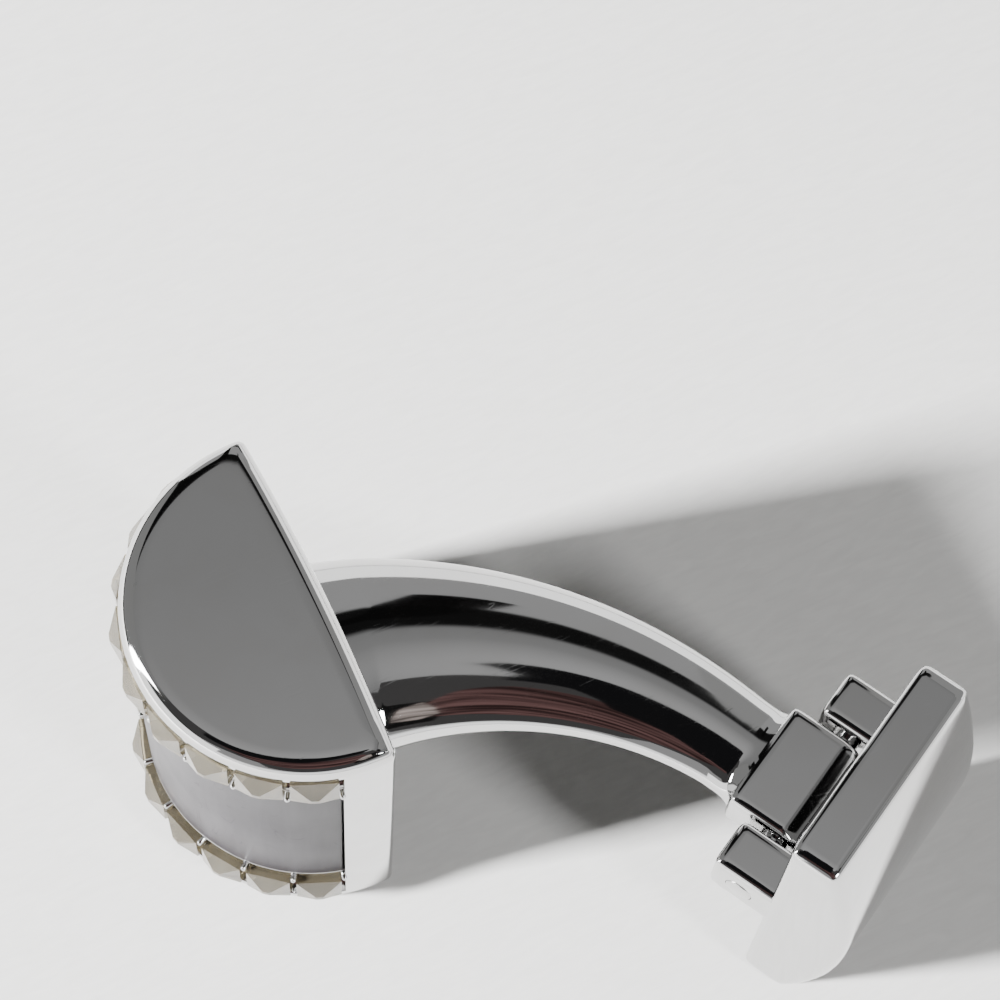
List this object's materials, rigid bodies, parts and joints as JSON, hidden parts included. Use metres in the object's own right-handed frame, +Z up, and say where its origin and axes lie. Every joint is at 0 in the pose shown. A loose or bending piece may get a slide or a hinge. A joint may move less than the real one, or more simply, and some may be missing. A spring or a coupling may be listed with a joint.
{
  "type": "cufflink",
  "caption": "Cufflink with a half-disc head, stone rows beside an inlaid band, a curved arm and a swinging toggle.",
  "frame": {"origin": "on the lower D-shaped end face of the head, halfway between the curved front and the back", "axes": "+Z up from the lower end face to the upper one, +X from the head's curved front towards its back and the arm, +Y along the head's back; the toggle swings about an axis in the XY plane"},
  "size_m": [0.0297, 0.0266, 0.017],
  "materials": {
    "silver": "mirror polished sterling silver",
    "inlay": "polished grey lavender inlay",
    "stones": "polished pale beige cut stones"
  },
  "bodies": {
    "link": {"link_frame": "silver", "center_band": "inlay", "upper_stone_1": "stones", "upper_stone_2": "stones", "upper_stone_3": "stones", "upper_stone_4": "stones", "upper_stone_5": "stones", "upper_stone_6": "stones", "upper_stone_7": "stones", "upper_stone_8": "stones", "upper_stone_9": "stones", "lower_stone_1": "stones", "lower_stone_2": "stones", "lower_stone_3": "stones", "lower_stone_4": "stones", "lower_stone_5": "stones", "lower_stone_6": "stones", "lower_stone_7": "stones", "lower_stone_8": "stones", "lower_stone_9": "stones"},
    "toggle": {"toggle": "silver", "hinge_pin": "silver"}
  },
  "joints": [
    {"name": "toggle_hinge", "type": "hinge", "parent": "link", "child": "toggle", "pos_m": [0.0191, -0.01286, 0.0079], "axis": [0.8771, 0.4802, 0], "range_deg": [-90, 90]}
  ]
}
